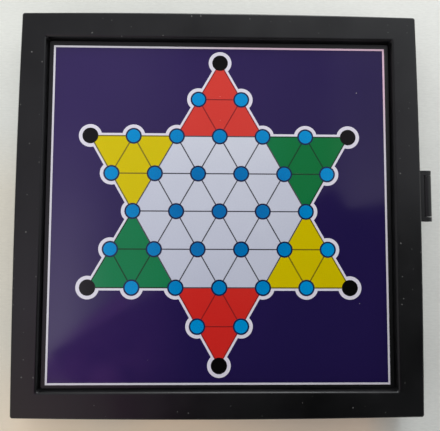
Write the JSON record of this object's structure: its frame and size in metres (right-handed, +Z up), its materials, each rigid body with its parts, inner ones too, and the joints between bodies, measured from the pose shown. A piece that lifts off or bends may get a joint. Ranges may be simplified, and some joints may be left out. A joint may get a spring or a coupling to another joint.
{
  "type": "chinese checkers board",
  "caption": "Square latched travel case with a recessed star board on its hinged lid and magnetic men stored in bays underneath.",
  "frame": {"origin": "centre of the flat underside of the square case", "axes": "+X towards the latch, +Y towards the back of the board, +Z up, out of the board's face"},
  "size_m": [0.1738, 0.1616, 0.021],
  "materials": {
    "case_plastic": "satin black, fine moulded grain",
    "latch_plastic": "satin black",
    "divider_plastic": "satin black",
    "printed_sheet": "gloss laminated print",
    "sheet_steel": "bright tinned",
    "pin_steel": "drawn wire",
    "magnet": "dark ferrite",
    "men_red": "gloss",
    "men_yellow": "gloss",
    "men_green": "gloss"
  },
  "bodies": {
    "base": {"base_shell": "case_plastic", "divider_left": "divider_plastic", "divider_right": "divider_plastic", "hinge_pin_front": "pin_steel", "hinge_pin_back": "pin_steel", "magnet_green_1": "magnet", "magnet_green_2": "magnet", "magnet_green_3": "magnet", "magnet_green_4": "magnet", "magnet_green_5": "magnet", "magnet_green_6": "magnet", "magnet_red_1": "magnet", "magnet_red_2": "magnet", "magnet_red_3": "magnet", "magnet_red_4": "magnet", "magnet_red_5": "magnet", "magnet_red_6": "magnet", "magnet_yellow_1": "magnet", "magnet_yellow_2": "magnet", "magnet_yellow_3": "magnet", "magnet_yellow_4": "magnet", "magnet_yellow_5": "magnet", "magnet_yellow_6": "magnet", "man_green_1": "men_green", "man_green_2": "men_green", "man_green_3": "men_green", "man_green_4": "men_green", "man_green_5": "men_green", "man_green_6": "men_green", "man_red_1": "men_red", "man_red_2": "men_red", "man_red_3": "men_red", "man_red_4": "men_red", "man_red_5": "men_red", "man_red_6": "men_red", "man_yellow_1": "men_yellow", "man_yellow_2": "men_yellow", "man_yellow_3": "men_yellow", "man_yellow_4": "men_yellow", "man_yellow_5": "men_yellow", "man_yellow_6": "men_yellow"},
    "lid": {"lid_shell": "case_plastic", "steel_plate": "sheet_steel", "printed_board": "printed_sheet", "latch_pin": "pin_steel"},
    "latch": {"latch_clip": "latch_plastic"}
  },
  "joints": [
    {"name": "lid_hinge", "type": "hinge", "parent": "base", "child": "lid", "pos_m": [-0.0818, 0, 0.012], "axis": [0, -1, 0], "range_deg": [0, 180]},
    {"name": "latch_hinge", "type": "hinge", "parent": "lid", "child": "latch", "pos_m": [0.08524, 0.0068, 0.0156], "axis": [0, -1, 0], "range_deg": [0, 150]}
  ]
}
